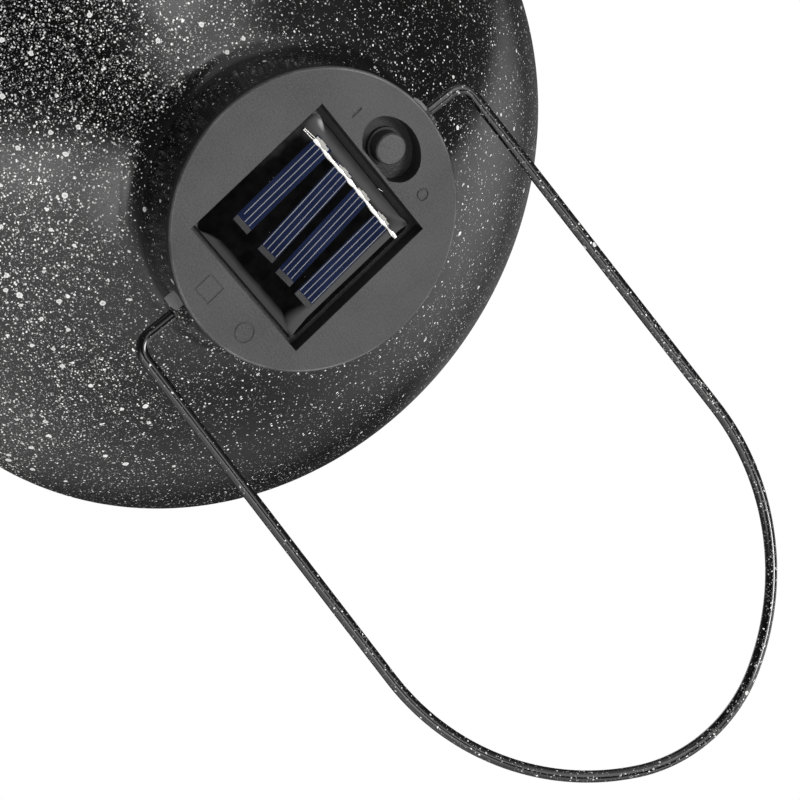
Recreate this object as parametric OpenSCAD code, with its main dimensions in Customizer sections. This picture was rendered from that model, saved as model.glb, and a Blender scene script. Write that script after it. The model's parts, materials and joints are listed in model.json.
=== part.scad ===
// Hanging solar garden light: an enamelled steel shade with a wire bail,
// a drop-in solar module in its neck and a frosted lamp globe below it.
// Millimetres, +Z up. Origin: centre of the shade's rim circle, on the
// plane the rim stands on. X runs along the bail's pivot line.

/* [Shade] */
// outer radius of the shade's rim
rim_r = 112; // [108:1:116]
// outer radius of the straight neck
neck_r = 42.3; // [42.2:0.1:42.4]
// sheet thickness of the shade and neck
sheet = 0.8; // [0.7:0.1:0.8]
// radius of the hollow curve where the neck meets the flare
flare_fillet = 9; // [7:0.5:11]
// slope below level where the flare starts
flare_start = 22; // [18:1:26]
// slope below level at the rim
flare_end = 57; // [54:1:60]
// width of the rim's flat inturned hem
hem_w = 2.2; // [1.6:0.1:3]
// height of the neck's top edge above the rim plane
neck_top = 78.15; // [78.05:0.05:78.15]

/* [Bail] */
// diameter of the bail wire
wire_d = 3.5; // [3.2:0.1:3.5]
// distance of each leg from the lamp's axis, where it leaves its short end
leg_x = 59.5; // [56:0.5:62]
// length of the straight leg from the pivot line
leg_len = 118.6; // [110:1:124]
// outward lean of each leg
leg_lean = 0.83; // [0.2:0.01:1.5]
// centre-line radius of the long side arc
side_arc_r = 76; // [70:1:78]
// angle of the side arc
side_arc_deg = 61.8; // [56:0.1:63]
// centre-line radius of the bend beside each ear
ear_bend_r = 5; // [4:0.5:6]
// lean of the bail from the lamp's axis, as it is kept
bail_fold = 69.1; // [0:0.1:110]

/* [Ears] */
// height of the pivot line above the rim plane
pivot_z = 70.4; // [70:0.1:70.6]
// size across the flats of the hexagonal nut that makes an ear
ear_flats = 10; // [9:0.5:10.5]
// distance of an ear's outer face from the lamp's axis
ear_face = 45.8; // [45:0.1:47]

/* [Solar module] */
// turn of the module in the neck, against the pivot line
module_turn = 5.5; // [0:0.5:15]
// radius of the lid's flange
lid_r = 43.5; // [43.3:0.1:44]
// height of the lid's top face above the rim plane
lid_top = 81; // [81:0.1:81.5]
// thickness of the lid's flange
lid_t = 2.2; // [2.2:0.1:2.2]
// side of the square panel pocket
pocket = 49.8; // [49:0.1:50]
// distance of the pocket's centre from the lid's, away from the switch
pocket_off = 2.8; // [2.6:0.1:3]
// side of the solar panel
panel = 46; // [45:0.1:46.4]
// radius of the cup below the lid
cup_r = 38.5; // [38.3:0.1:38.6]
// diameter of the button's cap
button_d = 9.1; // [8.8:0.1:9.2]
// travel of the button
button_travel = 2.5; // [1:0.1:2.5]

/* [Lamp globe] */
// radius of the frosted globe
globe_r = 19; // [17:0.5:20]
// height of the globe's centre above the rim plane
globe_z = 27; // [26:0.5:28]

/* [Hidden] */
$fn = 64;
eps = 0.01;
wire_r = wire_d / 2;
hole_r = wire_r + 0.08;
flare_r = (rim_r - neck_r - flare_fillet * (1 - sin(flare_start)))
    / (sin(flare_end) - sin(flare_start));
flare_z = flare_r * (cos(flare_start) - cos(flare_end));
fillet_z = flare_z + flare_fillet * cos(flare_start);
flare_c = [rim_r - flare_r * sin(flare_end), -flare_r * cos(flare_end)];
fillet_c = [neck_r + flare_fillet, fillet_z];
bail_top_h = side_arc_deg - leg_lean;
side_c_x = leg_x + leg_len * sin(leg_lean) - side_arc_r * cos(leg_lean);
side_c_y = leg_len * cos(leg_lean) + side_arc_r * sin(leg_lean);
side_end = [side_c_x + side_arc_r * cos(bail_top_h),
            side_c_y + side_arc_r * sin(bail_top_h)];
top_arc_r = side_end[0] / cos(bail_top_h);
top_c_y = side_end[1] - top_arc_r * sin(bail_top_h);
wire_end_x = 39.9;
ear_corner = ear_flats / 2 / cos(30);
ear_cone = 0.95 * ear_flats / 2;
lid_low = lid_top - lid_t;
floor_z = lid_top - 5;
tray_low = floor_z - 1.2;
board_top = floor_z + 1.2;
cell_top = board_top + 0.25;
switch_x = -29.2;
recess_floor = lid_top - 5.5;
cup_low = 52;
cover_screw = [-3.2, 29.4];
// four cut cells: centre x, centre y, turn, as laid by hand on the board
cells = [[0.7, 15.8, 1.2], [0.8, 6.1, 3.8], [0.3, -3.1, 4.2], [0.2, -14, 0.9]];
cell_len = 33;
cell_w = 6.5;
battery_x = 19;
battery_z = 61.5;
screw_at = [[0, 33], [0, -33], [31.5, 0]];

// ---- helpers ----

module in_module() {
    rotate([0, 0, module_turn]) children();
}

// a straight bar of square section between two heights, centred on x, y
module block(x0, x1, y0, y1, z0, z1) {
    translate([x0, y0, z0]) cube([x1 - x0, y1 - y0, z1 - z0]);
}

module ring(r_out, r_in, z0, z1) {
    translate([0, 0, z0]) difference() {
        cylinder(h = z1 - z0, r = r_out, $fn = 128);
        translate([0, 0, -1]) cylinder(h = z1 - z0 + 2, r = r_in, $fn = 128);
    }
}

// a round lead through a list of points, a little fuller at its bends
module lead(points, r = 0.65) {
    last = len(points) - 2;
    short = 0.1;
    for (i = [0 : last]) {
        d = points[i + 1] - points[i];
        length = norm(d);
        start = i == 0 ? 0 : short;
        end = i == last ? length : length - short;
        translate(points[i]) rotate([0, acos(d[2] / length), atan2(d[1], d[0])])
            translate([0, 0, start]) cylinder(h = end - start, r = r, $fn = 24);
    }
    for (i = [1 : 1 : last])
        translate(points[i]) sphere(r = r * 1.1, $fn = 24);
}

// a pan-head screw pointing up, its head's underside at z = 0
module screw(r, length, head_r, head_h) {
    difference() {
        union() {
            translate([0, 0, -head_h / 2]) cylinder(h = length + head_h / 2, r = r, $fn = 32);
            translate([0, 0, -head_h]) cylinder(h = head_h, r = head_r, $fn = 32);
        }
        for (a = [0, 90])
            rotate([0, 0, a]) block(-head_r * 0.7, head_r * 0.7, -0.3, 0.3, -head_h - 1, -head_h + 0.8);
    }
}

// ---- shade ----

// the sheet's section below the neck, grown inwards by t from the outer face
module flare_section(t) {
    polygon(concat(
        [for (s = [flare_end : -1 : flare_start])
            flare_c + flare_r * [sin(s), cos(s)]],
        [for (a = [90 - flare_start - 4 : -4 : 0])
            fillet_c - flare_fillet * [cos(a), sin(a)]],
        [[neck_r, neck_top], [neck_r - t, neck_top]],
        [for (a = [0 : 4 : 90 - flare_start])
            fillet_c - (flare_fillet + t) * [cos(a), sin(a)]],
        [for (s = [flare_start : 1 : flare_end])
            flare_c + (flare_r - t) * [sin(s), cos(s)]]));
}

module shade_section() {
    intersection() {
        union() {
            flare_section(sheet);
            translate([rim_r - hem_w, 0]) square([hem_w - sheet * 0.5, sheet]);
        }
        square([rim_r + 5, neck_top + 5]);
    }
}

module shade() {
    color([0.05, 0.05, 0.055]) difference() {
        rotate_extrude($fn = 160) shade_section();
        translate([-neck_r - 5, 0, pivot_z]) rotate([0, 90, 0])
            cylinder(h = 2 * neck_r + 10, r = hole_r, $fn = 48);
    }
}

// a hexagonal nut welded on edge to the neck: one flat on top, bore on the pivot line
module ear(side) {
    color([0.07, 0.07, 0.075]) difference() {
        translate([0, 0, pivot_z]) rotate([0, side * 90, 0]) intersection() {
            translate([0, 0, 38]) linear_extrude(ear_face - 38)
                polygon([for (k = [0 : 5]) ear_corner * [sin(60 * k), cos(60 * k)]]);
            // outer corners turned off at 30 degrees
            translate([0, 0, 38]) cylinder(h = ear_face - 38, r1 = ear_cone + (ear_face - 38) / tan(30),
                r2 = ear_cone, $fn = 64);
        }
        cylinder(h = 100, r = neck_r, $fn = 160);
        translate([side > 0 ? 38 : -50, 0, pivot_z]) rotate([0, 90, 0])
            cylinder(h = 12, r = hole_r, $fn = 48);
    }
}

module left_ear() { ear(-1); }

module right_ear() { ear(1); }

// ---- bail ----

// a swept arc of the wire, cut a hair short at both ends
module wire_arc(r, angle) {
    gap = 0.01 * 180 / (PI * r);
    rotate([0, 0, gap]) rotate_extrude(angle = angle - 2 * gap, $fn = 160)
        translate([r, 0]) circle(r = wire_r, $fn = 48);
}

module wire_joint(x, y) {
    translate([x, y, 0]) sphere(r = wire_r + 0.03, $fn = 48);
}

module half_bail() {
    bend_x = leg_x - ear_bend_r * (1 - sin(leg_lean)) / cos(leg_lean);
    leg_from = [bend_x + ear_bend_r * cos(leg_lean), ear_bend_r * (1 - sin(leg_lean))];
    leg_to = [side_c_x + side_arc_r * cos(leg_lean), side_c_y - side_arc_r * sin(leg_lean)];
    // short end through the ear, with its peened head inside the neck
    translate([wire_end_x, 0, 0]) rotate([0, 90, 0])
        cylinder(h = bend_x - wire_end_x - 0.01, r = wire_r, $fn = 48);
    translate([wire_end_x - 0.1, 0, 0]) rotate([0, 90, 0]) cylinder(h = 0.9, r = 2.5, $fn = 48);
    wire_joint(bend_x, 0);
    translate([bend_x, ear_bend_r, 0]) rotate([0, 0, -90]) wire_arc(ear_bend_r, 90 - leg_lean);
    wire_joint(leg_from[0], leg_from[1]);
    translate([leg_from[0], leg_from[1], 0]) rotate([0, 0, -leg_lean]) rotate([-90, 0, 0])
        translate([0, 0, 0.01]) cylinder(h = norm(leg_to - leg_from) - 0.02, r = wire_r, $fn = 48);
    wire_joint(leg_to[0], leg_to[1]);
    translate([side_c_x, side_c_y, 0]) rotate([0, 0, -leg_lean]) wire_arc(side_arc_r, side_arc_deg);
    wire_joint(side_end[0], side_end[1]);
}

module bail_handle() {
    color([0.06, 0.06, 0.065]) translate([0, 0, pivot_z]) rotate([90 - bail_fold, 0, 0]) {
        half_bail();
        mirror([1, 0, 0]) half_bail();
        translate([0, top_c_y, 0]) rotate([0, 0, bail_top_h]) wire_arc(top_arc_r, 180 - 2 * bail_top_h);
    }
}

// ---- lid of the solar module ----

// oval of four arcs with its side towards the panel cut flat
module recess_outline(grow) {
    end_r = 6 + grow;
    side_r = 12.88 + grow;
    shift = 4.88;
    reach = 4.85;
    flat_x = 6.3 + grow;
    tangent_y = reach + end_r * reach / norm([shift, reach]);
    intersection() {
        union() {
            for (s = [-1, 1]) translate([0, s * reach]) circle(r = end_r, $fn = 96);
            intersection() {
                translate([shift, 0]) circle(r = side_r, $fn = 96);
                translate([-shift, 0]) circle(r = side_r, $fn = 96);
                translate([-20, -tangent_y]) square([40, 2 * tangent_y]);
            }
        }
        translate([-20, -20]) square([20 + flat_x, 40]);
    }
}

module lid_marks() {
    // on: a bar; off: a ring; both sunk beside the switch
    translate([-28, -15.8, lid_top - 0.3]) block(-1.8, 1.8, -0.4, 0.4, 0, 1);
    translate([-28, 16.8, lid_top - 0.3]) ring(1.9, 1.3, 0, 1);
    // plain mould marks on the far side
    translate([35.2, 9.2, lid_top - 0.2]) ring(3.1, 2.6, 0, 1);
    translate([34.6, -8, lid_top - 0.2]) difference() {
        block(-3.2, 3.2, -3.2, 3.2, 0, 1);
        block(-2.7, 2.7, -2.7, 2.7, -1, 2);
    }
}

module module_lid() {
    color([0.13, 0.13, 0.135]) in_module() difference() {
        union() {
            translate([0, 0, lid_low]) cylinder(h = lid_t - 0.5, r = lid_r, $fn = 160);
            translate([0, 0, lid_top - 0.5 - eps])
                cylinder(h = 0.5 + eps, r1 = lid_r, r2 = lid_r - 0.5, $fn = 160);
            // locating skirt inside the neck
            ring(41.1, 39.7, 74, lid_low + eps);
            // tray under the panel
            translate([pocket_off, 0, 0])
                block(-pocket / 2 - 1.4, pocket / 2 + 1.4, -pocket / 2 - 1.4, pocket / 2 + 1.4,
                    tray_low, lid_low + eps);
            // well under the switch recess
            translate([switch_x, 0, recess_floor - 1.5]) linear_extrude(lid_low - recess_floor + 1.5 + eps)
                recess_outline(0.6);
            for (p = screw_at) translate([p[0], p[1], 74]) cylinder(h = lid_low - 74 + eps, r = 3, $fn = 48);
        }
        translate([pocket_off, 0, 0])
            block(-pocket / 2, pocket / 2, -pocket / 2, pocket / 2, floor_z, lid_top + 1);
        difference() {
            translate([switch_x, 0, recess_floor]) linear_extrude(10) recess_outline(0);
            // low guide collar round the button
            translate([switch_x, 0, recess_floor - 1]) cylinder(h = 2.1, r = 5.4, $fn = 64);
        }
        translate([switch_x, 0, 60]) cylinder(h = 30, r = button_d / 2 + 0.1, $fn = 64);
        // way for the panel's two leads
        for (s = [-1, 1]) translate([-12, s * 3, 60]) cylinder(h = 18, r = 1.2, $fn = 32);
        for (p = screw_at) translate([p[0], p[1], 73]) cylinder(h = 5.2, r = 1.13, $fn = 32);
        lid_marks();
    }
}

module lid_gasket() {
    color([0.03, 0.03, 0.03]) ring(43, 41.3, 78.2, lid_low);
}

// ---- solar panel ----

module solar_board() {
    color([0.02, 0.02, 0.025]) in_module() translate([pocket_off, 0, 0]) difference() {
        block(-panel / 2, panel / 2, -panel / 2, panel / 2, floor_z, board_top);
        for (s = [-1, 1]) translate([-12 - pocket_off, s * 3, 70]) cylinder(h = 6.7, r = 0.75, $fn = 32);
    }
}

module cell_bodies(grow = 0) {
    for (c = cells) translate([c[0], c[1], board_top]) rotate([0, 0, c[2]])
        block(-cell_len / 2 - grow, cell_len / 2 + grow, -cell_w / 2 - grow, cell_w / 2 + grow,
            0, 0.25 + grow);
}

module solar_cells() {
    color([0.05, 0.06, 0.2]) in_module() cell_bodies();
}

// one tinned strip of overlapping short lengths across the cells' ends
module ribbon_body() {
    translate([-15.4, 0, cell_top]) rotate([0, 0, -1]) union() {
        block(-0.5, 0.6, -16.5, 21.8, 0, 0.3);
        for (y = [-14.4, -4.2, 5.2, 15.4]) block(-0.9, 0.4, y - 2.8, y + 2.8, 0, 0.45);
    }
}

module cell_ribbon() {
    color([0.85, 0.84, 0.8]) in_module() ribbon_body();
}

module panel_resin() {
    h = 1.1;
    color([0.6, 0.6, 0.65, 0.25]) in_module() difference() {
        translate([pocket_off, 0, 0]) difference() {
            block(-panel / 2, panel / 2, -panel / 2, panel / 2, board_top, board_top + h);
            // the poured edge falls away on all four sides
            for (a = [0, 90, 180, 270]) rotate([0, 0, a])
                translate([panel / 2 - 3, -40, board_top + h]) rotate([0, 11, 0]) cube([6, 80, 3]);
        }
        cell_bodies(0);
        ribbon_body();
    }
}

// ---- switch ----

module button() {
    color([0.12, 0.12, 0.125]) in_module() translate([switch_x, 0, 0]) {
        translate([0, 0, 73.6]) cylinder(h = lid_top - 0.2 - 73.6 - 0.4, r = button_d / 2, $fn = 64);
        translate([0, 0, lid_top - 0.6 - eps])
            cylinder(h = 0.4 + eps, r1 = button_d / 2, r2 = button_d / 2 - 0.4, $fn = 64);
        translate([0, 0, 72.6]) cylinder(h = 1, r = 5.3, $fn = 64);
        translate([0, 0, 63]) cylinder(h = 9.6 + eps, r = 1.7, $fn = 48);
    }
}

module button_spring() {
    color([0.7, 0.7, 0.72]) in_module() translate([switch_x, 0, 0])
        union() {
            for (i = [0 : 4]) translate([0, 0, 66.35 + i * 1.47])
                rotate_extrude($fn = 48) translate([2.8, 0]) circle(r = 0.3, $fn = 16);
            lead([[2.8, 0, 66.35], [2.8, 0, 72.23]], 0.2);
        }
}

module switch_body() {
    color([0.08, 0.08, 0.09]) in_module() translate([switch_x, 0, 0]) difference() {
        block(-4, 4, -4, 4, 58, 66);
        translate([0, 0, 59]) cylinder(h = 10, r = 1.78, $fn = 48);
    }
}

// ---- circuit ----

module circuit_board() {
    color([0.05, 0.25, 0.1]) in_module() difference() {
        block(-34, -15, -13, 13, 56.4, 58);
        for (y = [-10.5, 10.5]) translate([-31, y, 50]) cylinder(h = 10, r = 1.1, $fn = 32);
    }
}

module controller_chip() {
    color([0.05, 0.05, 0.05]) in_module() union() {
        block(-22.5, -18.5, -3, 2, 58.2, 59.7);
        for (y = [-2.4, -1.1, 0.1, 1.3]) for (s = [-1, 1])
            block(-20.5 + s * 2.6 - 0.7, -20.5 + s * 2.6 + 0.7, y - 0.2, y + 0.2, 58, 58.5);
    }
}

module board_coil() {
    color([0.45, 0.3, 0.12]) in_module() translate([-20.5, 8, 58])
        rotate_extrude($fn = 48) polygon([[0, 0], [2.6, 0], [2.6, 0.8], [1.9, 1.2],
            [1.9, 4.6], [2.6, 5], [2.6, 5.8], [0, 5.8]]);
}

module board_resistors() {
    color([0.7, 0.6, 0.4]) in_module()
        for (x = [-17, -20.5, -24]) block(x - 0.6, x + 0.6, -8.6, -6.4, 58, 58.6);
}

// ---- cup below the lid ----

// the battery door's plan: a plate with a narrower tab at each end
module cover_outline(grow, z0, z1) {
    block(battery_x - 6.1 - grow, battery_x + 6.1 + grow, -27.4 - grow, 27.4 + grow, z0, z1);
    block(battery_x - 6.1 - grow, battery_x - 0.6 + grow, -31.6 - grow, 31.6 + grow, z0, z1);
}

module module_cup() {
    color([0.1, 0.1, 0.105]) in_module() difference() {
        union() {
            difference() {
                translate([0, 0, cup_low]) cylinder(h = lid_low - cup_low, r = cup_r, $fn = 160);
                translate([0, 0, cup_low + 1.6]) cylinder(h = 40, r = cup_r - 1.5, $fn = 160);
                // clear of the lid's tray corners
                translate([pocket_off, 0, 0])
                    block(-pocket / 2 - 1.6, pocket / 2 + 1.6, -pocket / 2 - 1.6, pocket / 2 + 1.6, 74.5, 90);
                translate([switch_x, 0, 73.8]) linear_extrude(20) recess_outline(0.8);
            }
            for (p = screw_at) translate([p[0], p[1], cup_low]) cylinder(h = 74 - cup_low, r = 3.4, $fn = 48);
            // posts under the circuit board
            for (y = [-10.5, 10.5]) translate([-31, y, cup_low]) cylinder(h = 4.4, r = 2.2, $fn = 48);
            for (y = [-10.5, 10.5]) translate([-31, y, cup_low]) cylinder(h = 6.5, r = 1, $fn = 48);
            for (s = [-1, 1]) translate([battery_x + cover_screw[0], s * cover_screw[1], cup_low])
                cylinder(h = 8.6, r = 2, $fn = 48);
        }
        for (p = screw_at) {
            translate([p[0], p[1], cup_low - 1]) cylinder(h = 15, r = 2.8, $fn = 48);
            translate([p[0], p[1], cup_low]) cylinder(h = 40, r = 1.45, $fn = 32);
        }
        // battery door way, with a ledge for the cover
        block(battery_x - 5.8, battery_x + 5.8, -24.6, 24.6, cup_low - 1, cup_low + 4);
        cover_outline(0.2, cup_low - 1, cup_low + 0.8);
        for (s = [-1, 1]) translate([battery_x + cover_screw[0], s * cover_screw[1], cup_low - 1])
            cylinder(h = 8.8, r = 0.78, $fn = 32);
        // ways for the lamp's leads
        for (s = [-1, 1]) translate([-5, s * 2, cup_low - 1]) cylinder(h = 4, r = 0.9, $fn = 32);
    }
}

// ---- battery ----

module battery_cradle() {
    color([0.09, 0.09, 0.095]) in_module() translate([battery_x, 0, 0]) difference() {
        block(-6.2, 6.2, -26.7, 26.7, cup_low + 1.6, 68.6);
        translate([0, -25.3, battery_z]) rotate([-90, 0, 0]) cylinder(h = 49.6, r = 5.45, $fn = 64);
        block(-5.45, 5.45, -25.3, 24.3, 40, battery_z);
        // slots that let the leads reach the contacts
        for (y = [-25.1, 23.95]) block(-9, -3.9, y - 0.75, y + 0.75, 62.3, 64.1);
    }
}

module battery() {
    color([0.15, 0.35, 0.25]) in_module() translate([battery_x, 0, battery_z]) rotate([-90, 0, 0]) {
        translate([0, 0, -20.7]) cylinder(h = 43.6, r = 5.2, $fn = 64);
        translate([0, 0, 22.9 - eps]) cylinder(h = 0.8 + eps, r = 1.9, $fn = 32);
    }
}

// the back strip and a cone of rings against the cell's flat end
module battery_spring() {
    color([0.75, 0.75, 0.77]) in_module() translate([battery_x, 0, battery_z]) {
        block(-4, 4, -25.3, -24.9, -4, 3.6);
        for (i = [0 : 3]) translate([0, -24.5 + i * 1.13, 0]) rotate([-90, 0, 0])
            rotate_extrude($fn = 48) translate([4 - i * 0.6, 0]) circle(r = 0.35, $fn = 16);
    }
}

module battery_plate() {
    color([0.8, 0.75, 0.6]) in_module() translate([battery_x, 0, battery_z])
        block(-4, 4, 23.75, 24.15, -4, 3.6);
}

module battery_cover() {
    color([0.1, 0.1, 0.105]) in_module() difference() {
        union() {
            cover_outline(0, cup_low - 0.4, cup_low + 0.8);
            for (y = [-12, 12]) block(battery_x - 4.5, battery_x + 4.5, y - 1, y + 1,
                cup_low + 0.8 - eps, cup_low + 3.4);
        }
        for (s = [-1, 1]) translate([battery_x + cover_screw[0], s * cover_screw[1], cup_low - 2])
            cylinder(h = 6, r = 0.9, $fn = 32);
        // finger grooves
        for (y = [-4, 0, 4]) block(battery_x - 4, battery_x + 4, y - 0.5, y + 0.5, cup_low - 1, cup_low);
    }
}

module cover_screws() {
    color([0.7, 0.7, 0.72]) in_module()
        for (s = [-1, 1]) translate([battery_x + cover_screw[0], s * cover_screw[1], cup_low - 0.4])
            screw(0.75, 7, 1.3, 0.9);
}

module housing_screws() {
    color([0.7, 0.7, 0.72]) in_module()
        for (p = screw_at) translate([p[0], p[1], cup_low + 14]) screw(1.1, 11.5, 2.4, 1.8);
}

// ---- lamp ----

module globe_collar() {
    color([0.09, 0.09, 0.095]) difference() {
        union() {
            translate([0, 0, 44]) cylinder(h = cup_low - 44, r = 12, $fn = 96);
            translate([0, 0, 43.2]) cylinder(h = 0.8 + eps, r1 = 11.4, r2 = 12, $fn = 96);
        }
        translate([0, 0, 40]) cylinder(h = 11.2, r = 10.6, $fn = 96);
        for (s = [-1, 1]) in_module() translate([-5, s * 2, 50]) cylinder(h = 4, r = 0.9, $fn = 32);
    }
}

module globe_outline(t) {
    neck = 10.5 - t;
    difference() {
        union() {
            translate([0, globe_z]) circle(r = globe_r - t, $fn = 96);
            translate([0, globe_z]) square([neck, 49 - globe_z]);
        }
        translate([-60, -60]) square([60, 200]);
    }
}

module lamp_globe() {
    color([0.92, 0.92, 0.88, 0.75]) rotate_extrude($fn = 128) difference() {
        globe_outline(0);
        difference() {
            globe_outline(1.3);
            square([40, 0.1]);
        }
        translate([0, 48.9]) square([9.3, 1]);
    }
}

module led_board() {
    color([0.9, 0.9, 0.88]) difference() {
        translate([0, 0, 50]) cylinder(h = 1.2, r = 9.8, $fn = 64);
        for (s = [-1, 1]) in_module() translate([-5, s * 2, 48]) cylinder(h = 5, r = 0.7, $fn = 32);
    }
}

module led() {
    color([0.95, 0.9, 0.55]) {
        translate([0, 0, 49]) cylinder(h = 1, r = 3, $fn = 48);
        translate([0, 0, 45.5]) cylinder(h = 3.5 + eps, r = 2.5, $fn = 48);
        translate([0, 0, 45.5]) sphere(r = 2.5, $fn = 48);
    }
}

// ---- leads ----

module panel_leads() {
    color([0.6, 0.08, 0.06]) in_module()
        for (s = [-1, 1])
            lead([[-12, s * 3, 76.5], [-12, s * 3, 71], [-16.4, s * 3.6, 66], [-16.4, s * 3.6, 58]]);
}

module battery_leads() {
    color([0.6, 0.08, 0.06]) in_module() {
        lead([[battery_x - 4, -25.1, 63.2], [battery_x - 8, -25.1, 63.2], [0, -20, 60],
            [-16.4, -11.5, 62], [-16.4, -11.5, 58]]);
        lead([[battery_x - 4, 23.95, 63.2], [battery_x - 8, 23.95, 63.2], [0, 20, 60],
            [-16.4, 11.5, 62], [-16.4, 11.5, 58]]);
    }
}

module led_leads() {
    color([0.6, 0.08, 0.06]) in_module()
        for (s = [-1, 1])
            lead([[-5, s * 2, 50.2], [-5, s * 2, 57], [-12, s * 6, 62], [-17.5, s * 5.8, 61],
                [-17.5, s * 5.8, 58]], 0.6);
}

shade();
left_ear();
right_ear();
bail_handle();
module_lid();
lid_gasket();
solar_board();
solar_cells();
cell_ribbon();
panel_resin();
button();
button_spring();
switch_body();
circuit_board();
controller_chip();
board_coil();
board_resistors();
module_cup();
battery_cradle();
battery();
battery_spring();
battery_plate();
battery_cover();
cover_screws();
housing_screws();
globe_collar();
lamp_globe();
led_board();
led();
panel_leads();
battery_leads();
led_leads();
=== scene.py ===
"""Solar garden light: flared, speckled enamel shade, wire bail, lift-out solar module."""
import json
import math
import random

import bmesh
import bpy
from mathutils import Matrix, Vector


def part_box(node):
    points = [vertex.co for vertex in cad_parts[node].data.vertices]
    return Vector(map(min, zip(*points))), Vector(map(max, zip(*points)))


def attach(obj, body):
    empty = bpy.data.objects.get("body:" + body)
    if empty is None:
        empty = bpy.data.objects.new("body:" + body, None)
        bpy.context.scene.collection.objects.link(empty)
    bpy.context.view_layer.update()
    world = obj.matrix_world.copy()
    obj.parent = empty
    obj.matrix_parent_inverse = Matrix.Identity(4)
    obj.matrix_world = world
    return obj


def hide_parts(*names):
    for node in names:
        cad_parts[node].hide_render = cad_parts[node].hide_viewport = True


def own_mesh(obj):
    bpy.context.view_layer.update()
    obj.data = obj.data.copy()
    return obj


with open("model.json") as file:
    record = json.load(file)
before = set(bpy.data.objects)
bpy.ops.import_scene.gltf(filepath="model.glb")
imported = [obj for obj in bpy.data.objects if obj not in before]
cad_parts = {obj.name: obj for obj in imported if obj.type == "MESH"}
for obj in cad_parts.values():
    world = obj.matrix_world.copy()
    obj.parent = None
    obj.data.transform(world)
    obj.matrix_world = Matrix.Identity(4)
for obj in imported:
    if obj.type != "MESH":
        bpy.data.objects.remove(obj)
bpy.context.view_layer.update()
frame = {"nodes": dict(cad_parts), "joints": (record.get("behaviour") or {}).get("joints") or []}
NODES = frame["nodes"]
MM = 0.001
random.seed(11)

# ---------------------------------------------------------------- camera
VIEW_AZIMUTH = math.radians(18.28)
VIEW_ELEVATION = math.radians(58.41)
VIEW_ROLL = math.radians(124.9)
VIEW_DISTANCE = 0.844
VIEW_TARGET = Vector((0.0129, 0.0473, 0.1043))
VIEW_LENS = 137.54


def make_camera():
    """Looks down on the lid from the front, rolled so the bail runs to the lower right."""
    back = Vector((math.sin(VIEW_AZIMUTH) * math.cos(VIEW_ELEVATION),
                   -math.cos(VIEW_AZIMUTH) * math.cos(VIEW_ELEVATION),
                   math.sin(VIEW_ELEVATION)))
    up = (Vector((0, 0, 1)) - back * back.z).normalized()
    up = Matrix.Rotation(VIEW_ROLL, 3, back) @ up
    side = up.cross(back)
    data = bpy.data.cameras.new("camera")
    data.lens = VIEW_LENS
    data.sensor_width = 36
    data.clip_start = 0.01
    data.clip_end = 60
    camera = bpy.data.objects.new("camera", data)
    bpy.context.scene.collection.objects.link(camera)
    turn = Matrix((side, up, back)).transposed().to_4x4()
    camera.matrix_world = Matrix.Translation(VIEW_TARGET + back * VIEW_DISTANCE) @ turn
    bpy.context.scene.camera = camera


make_camera()
bpy.context.scene.view_settings.view_transform = "Standard"


# ---------------------------------------------------------------- node helpers
class Tree:
    """A short way to write shader nodes: values may be numbers or output sockets."""

    def __init__(self, owner):
        owner.use_nodes = True
        self.tree = owner.node_tree
        self.tree.nodes.clear()

    def put(self, socket, value):
        """Links an output socket, or sets a plain value."""
        if isinstance(value, bpy.types.NodeSocket):
            self.tree.links.new(value, socket)
        elif value is not None:
            socket.default_value = value

    def node(self, kind, _out=0, _set=None, **inputs):
        """A node's output; inputs go by name, or by number with a leading underscore."""
        made = self.tree.nodes.new(kind)
        for name, value in (_set or {}).items():
            setattr(made, name, value)
        for name, value in inputs.items():
            key = int(name[1:]) if name[0] == "_" else name.replace("_", " ")
            self.put(made.inputs[key], value)
        return made.outputs[_out]

    def math(self, op, a, b=0.0, c=0.0, clamp=False):
        return self.node("ShaderNodeMath", 0, {"operation": op, "use_clamp": clamp},
                         _0=a, _1=b, _2=c)

    def mix(self, fac, a, b):
        return self.node("ShaderNodeMix", 2, {"data_type": "RGBA"}, _0=fac, _6=a, _7=b)

    def ramp(self, fac, stops, mode="EASE"):
        """A colour ramp through (place, tone) stops."""
        made = self.tree.nodes.new("ShaderNodeValToRGB")
        made.color_ramp.interpolation = mode
        marks = made.color_ramp.elements
        while len(marks) < len(stops):
            marks.new(0.5)
        for mark, (at, value) in zip(marks, stops):
            mark.position = at
            mark.color = (*value, 1) if isinstance(value, tuple) else (value, value, value, 1)
        self.put(made.inputs[0], fac)
        return made.outputs[0]

    def span(self, value, low, high, to_low=0.0, to_high=1.0):
        """Maps low..high to to_low..to_high, clamped."""
        made = self.tree.nodes.new("ShaderNodeMapRange")
        for i, v in enumerate((value, low, high, to_low, to_high)):
            self.put(made.inputs[i], v)
        return made.outputs[0]

    def coords(self):
        return self.node("ShaderNodeTexCoord", 3)

    def noise(self, vector, scale, detail=2.0, rough=0.5, out=0):
        return self.node("ShaderNodeTexNoise", out, None, Vector=vector, Scale=scale,
                         Detail=detail, Roughness=rough)

    def bump(self, height, distance, strength=1.0, normal=None):
        made = self.tree.nodes.new("ShaderNodeBump")
        made.inputs["Distance"].default_value = distance
        made.inputs["Strength"].default_value = strength
        self.put(made.inputs["Height"], height)
        self.put(made.inputs["Normal"], normal)
        return made.outputs[0]

    def surface(self, **inputs):
        out = self.tree.nodes.new("ShaderNodeOutputMaterial")
        shader = self.tree.nodes.new("ShaderNodeBsdfPrincipled")
        for name, value in inputs.items():
            self.put(shader.inputs[name.replace("_", " ")], value)
        self.tree.links.new(shader.outputs[0], out.inputs[0])
        return shader


def grey(v):
    return (v, v, v, 1)


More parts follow.
